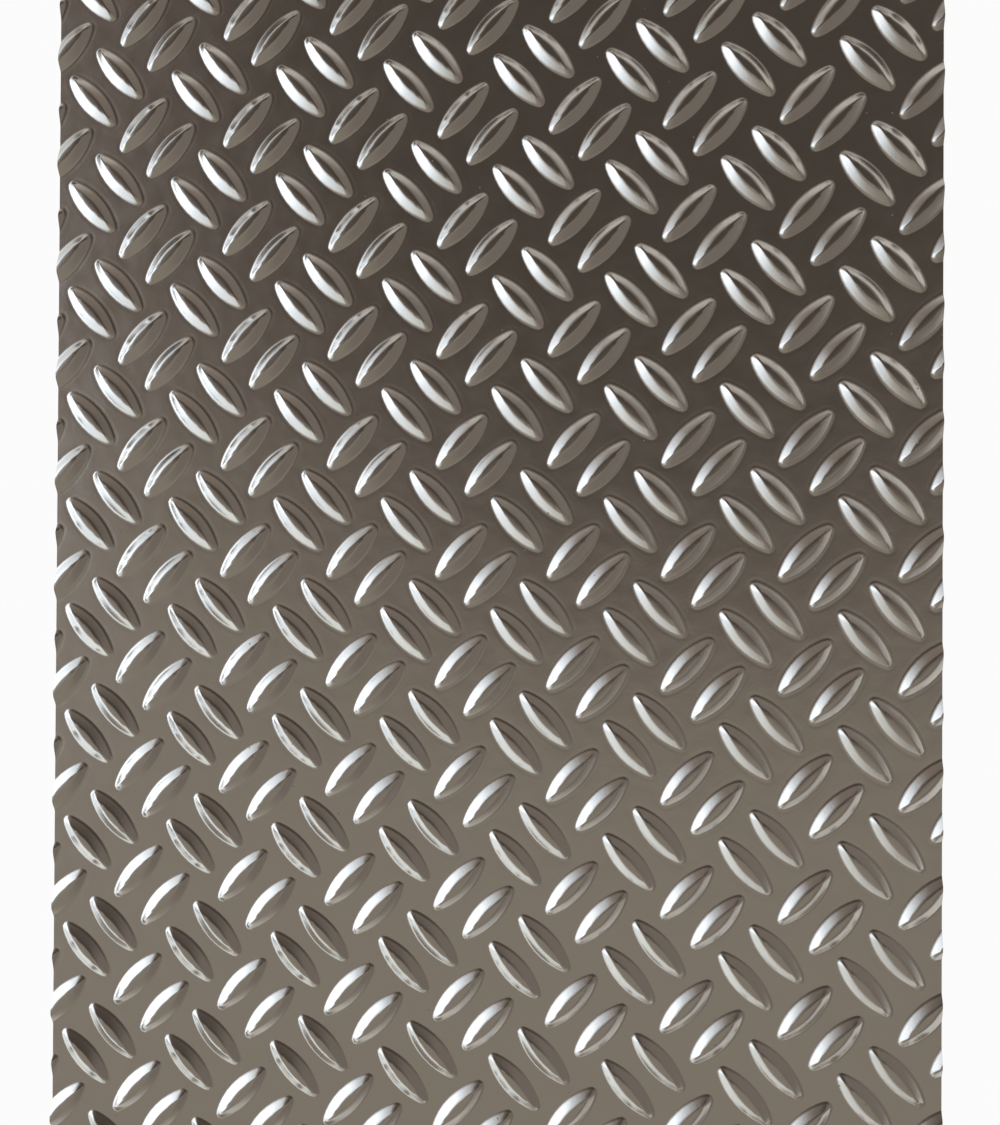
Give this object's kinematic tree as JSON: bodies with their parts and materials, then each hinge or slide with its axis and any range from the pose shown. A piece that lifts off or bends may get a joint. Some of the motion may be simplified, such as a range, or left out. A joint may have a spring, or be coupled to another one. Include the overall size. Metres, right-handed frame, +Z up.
{
  "type": "embossed aluminium sheet",
  "caption": "Thin bright aluminium sheet embossed with pairs of lens-shaped ribs that alternate in direction, cut square as raw stock for lining and trim.",
  "frame": {"origin": "middle of the flat back face, on the surface that the sheet lies on", "axes": "+X across the sheet, +Y along its length, +Z up out of the embossed face"},
  "size_m": [0.2, 0.3, 0.0022],
  "materials": {
    "bright_aluminium": "bright rolled finish, polished, with fine rolling marks and specks of dust"
  },
  "bodies": {
    "root": {"embossed_sheet": "bright_aluminium"}
  },
  "joints": []
}
